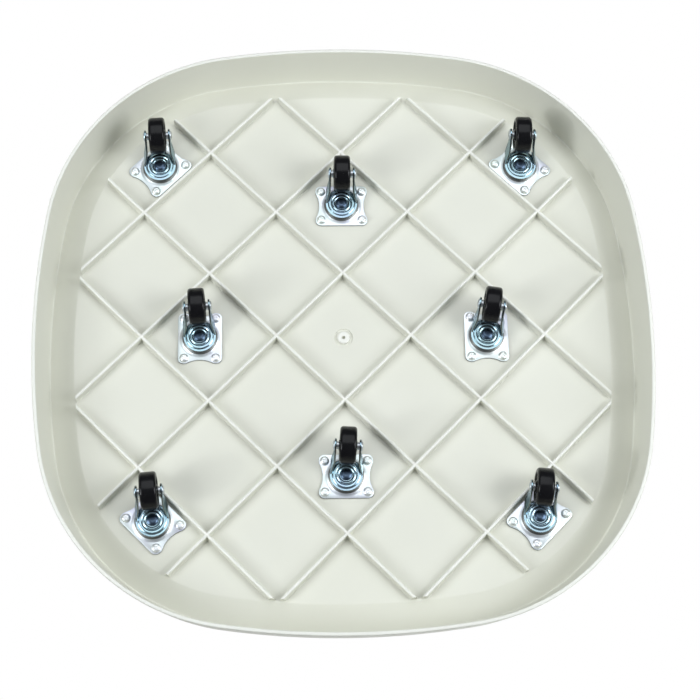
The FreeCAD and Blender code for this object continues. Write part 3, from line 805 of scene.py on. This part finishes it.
# Axles: steel pins peened over outside both legs, on which the wheels run.
# A short spacer inside each leg keeps the wheel clear of the fork.
axle_radius = 0.0024
axle_head_radius = 0.004
axle_head_flat = axle_head_radius * 0.6
axle_head_height = 0.0014
axle_half = fork_half + axle_head_height
axle_head_dome = 0.0006
axle_head_rounding = 0.0008
axle_edge_rounding = 0.0006
spacer_radius = 0.0033
spacer_length = 0.0018
spacer_out = fork_half - fork_wall
spacer_in = spacer_out - spacer_length
sideways = Matrix.Rotation(math.radians(90), 4, "Y")
axle_pale = (0.72, 0.75, 0.78, 1)
axle_deep = (0.56, 0.60, 0.64, 1)


def both_ends(half_section):
    """Mirror the lower end of a half section, for a piece whose two ends are alike."""
    return half_section + [(radius, -along, *soft) for radius, along, *soft in reversed(half_section)]


axle = turn_piece(both_ends([
    (0, -axle_half),
    (axle_head_flat, -axle_half, axle_head_rounding),
    (axle_head_radius, -axle_half + axle_head_dome, axle_edge_rounding),
    (axle_head_radius, -fork_half),
    (axle_radius, -fork_half),
    (axle_radius, -spacer_out),
    (spacer_radius, -spacer_out),
    (spacer_radius, -spacer_in),
    (axle_radius, -spacer_in),
]), steps=32)
axle_mesh = seal(axle, "axle")
axle_mesh.transform(Matrix.Translation(eye) @ sideways)
axle_steel = bare_steel("axle_steel", axle_pale, axle_deep, roughness=0.24)
for caster, place in fork_places.items():
    fit(axle_mesh, f"wheel_axle_{caster}", f"swivel_{caster}", f"axle_{caster}",
        axle_steel, place)


# Wheels: solid rollers moulded in glossy black polypropylene, running free on the axle.
# The tread is straight across with rounded shoulders, and each side has a shallow ring round the hub.
wheel_radius = wheel_z
tread_half = 0.0071
tread_rounding = 0.0026
hub_half = 0.0076
hub_radius = 0.0045
hub_rounding = 0.0006
ring_depth = 0.0012
ring_radius = 0.0115
ring_draft = 0.0007
ring_rounding = 0.0005
black_deep = (0.003, 0.003, 0.004, 1)
black_pale = (0.007, 0.007, 0.008, 1)
wheel = turn_piece(both_ends([
    (axle_radius + running_gap, -hub_half),
    (hub_radius, -hub_half, hub_rounding),
    (hub_radius + ring_depth, ring_depth - tread_half, ring_rounding),
    (ring_radius, ring_depth - tread_half, ring_rounding),
    (ring_radius + ring_draft, -tread_half, ring_rounding),
    (wheel_radius, -tread_half, tread_rounding),
]), steps=72)
wheel_mesh = seal(wheel, "wheel")
wheel_mesh.transform(Matrix.Translation(eye) @ sideways)


def black_plastic():
    """Gloss black polypropylene: faint flow clouds, and fine scuffs from rolling."""
    finish = Finish("black_plastic")
    clouds = finish.noise(scale=70, detail=3)
    scuffs = finish.noise(scale=1500, stretch=(0.15, 1, 1))
    finish.feed(finish.shader, {
        "Base Color": finish.blend(clouds, black_deep, black_pale),
        "Roughness": 0.14 + 0.10 * clouds + 0.06 * scuffs,
        "Specular IOR Level": 0.2,
        "Normal": finish.bump(scuffs, depth=0.000012),
    })
    return finish


wheel_black = black_plastic()
for caster, place in fork_places.items():
    fit(wheel_mesh, f"caster_wheel_{caster}", f"roller_{caster}", f"wheel_{caster}",
        wheel_black, place)


# Studio: a pale floor under the wheels, seen only from above, that fades into an even white room.
# Soft lamps stand above it, and also below it on the camera's side, because it stops no light.
floor_size = 8
floor_fade_start = 0.3
floor_fade_end = 1.1
paper_grey = (0.82, 0.82, 0.81, 1)
pure_white = (1, 1, 1, 1)
cool_white = (0.935, 0.97, 1.0)
ambient_light = 0.16
floor_plane = bmesh.new()
bmesh.ops.create_grid(floor_plane, x_segments=1, y_segments=1, size=floor_size / 2)
floor = bpy.data.objects.new("studio_floor", seal(floor_plane, "studio_floor"))
floor.visible_shadow = False
floor.visible_diffuse = False
floor.visible_glossy = False
scene.collection.objects.link(floor)
paper = Finish("studio_paper")
paper.feed(paper.shader, {"Base Color": paper_grey, "Roughness": 0.9})
clear = paper.node("ShaderNodeBsdfTransparent")
seen = paper.node("ShaderNodeLightPath", output="Is Camera Ray")
behind = paper.node("ShaderNodeNewGeometry", output="Backfacing")
reach = paper.node("ShaderNodeVectorMath", {"operation": "LENGTH"}, {"Vector": paper.place}, "Value")
fade = paper.node("ShaderNodeMapRange", {"interpolation_type": "SMOOTHSTEP"}, {
    "Value": reach, "From Min": floor_fade_start, "From Max": floor_fade_end})
mixed = paper.node("ShaderNodeMixShader", sockets={
    "Fac": seen * behind + fade, "Shader": Signal(paper, paper.shader.outputs[0]), "Shader_001": clear})
paper.feed(paper.tree.nodes["Material Output"], {"Surface": mixed})
floor.data.materials.append(paper.material)

# The room is white to the camera, and in reflections that look up; the rest of it is dim
world = bpy.data.worlds.new("studio_room")
world.use_nodes = True
scene.world = world
room = NodeSheet(world.node_tree)
camera_ray = room.node("ShaderNodeLightPath", output="Is Camera Ray")
mirror_ray = room.node("ShaderNodeLightPath", output="Is Glossy Ray")
glass_ray = room.node("ShaderNodeLightPath", output="Is Transmission Ray")
direction = room.node("ShaderNodeTexCoord", output="Generated")
rise = room.node("ShaderNodeSeparateXYZ", sockets={"Vector": direction}, output="Z")
upward = room.node("ShaderNodeMath", {"operation": "GREATER_THAN"}, {"Value": rise, "Value_001": 0.0})
backdrop = camera_ray + (mirror_ray + glass_ray) * upward
ambient = room.node("ShaderNodeBackground", sockets={
    "Color": (*cool_white, 1), "Strength": ambient_light})
white = room.node("ShaderNodeBackground", sockets={"Color": pure_white, "Strength": 1.0})
either = room.node("ShaderNodeMixShader", sockets={
    "Fac": backdrop, "Shader": ambient, "Shader_001": white})
room.feed(room.tree.nodes["World Output"], {"Surface": either})


def lamp(name, spot, size, watts):
    """A soft square lamp aimed at the tray."""
    light = bpy.data.lights.new(name, "AREA")
    light.size = size
    light.energy = watts
    light.color = cool_white
    stand = bpy.data.objects.new(name, light)
    stand.location = spot
    stand.rotation_euler = (Vector((0, 0, floor_z)) - Vector(spot)).to_track_quat("-Z", "Y").to_euler()
    stand.visible_camera = False
    scene.collection.objects.link(stand)


lamp("key_left", spot=(-1.345, 0.599, -0.625), size=0.22, watts=4)
lamp("fill_left", spot=(-1.2, 0.46, -0.92), size=0.7, watts=9.2)
lamp("fill_right", spot=(1.32, 0.23, -0.87), size=0.9, watts=13)
lamp("lamp_right", spot=(1.04, 0.24, -1.19), size=0.45, watts=3.7)
lamp("lamp_front", spot=(0, -0.62, -1.5), size=1.5, watts=12.8)
lamp("lamp_above_left", spot=(-1.6, -1.9, 3.0), size=2.0, watts=105)
lamp("lamp_above_right", spot=(2.2, 1.7, 2.5), size=2.0, watts=80)


# Camera: under the base, looking up at its open side a little from behind, as the photograph does.
# It stands about 1.4 metres from the middle of the floor, with a short telephoto lens.
camera_tilt = math.radians(-19.0)
camera_swing = math.radians(1.752)
camera_roll = math.radians(1.032)
camera_stand_off = Vector((0.005516, -0.010556, 1.42117))
sensor_width = 36
focal_length = 84.363
farthest_view = 20
turned_over = Matrix.Rotation(math.pi, 3, "X")
aim = (Matrix.Rotation(camera_tilt, 3, "X") @ Matrix.Rotation(camera_swing, 3, "Y")
       @ Matrix.Rotation(camera_roll, 3, "Z"))
facing = turned_over @ aim.transposed()
lens = bpy.data.cameras.new("camera")
lens.sensor_width = sensor_width
lens.lens = focal_length
lens.clip_end = farthest_view
camera = bpy.data.objects.new("camera", lens)
camera.location = Vector((0, 0, floor_z)) + facing @ camera_stand_off
camera.rotation_euler = facing.to_euler()
scene.collection.objects.link(camera)
scene.camera = camera
scene.view_settings.view_transform = "Standard"
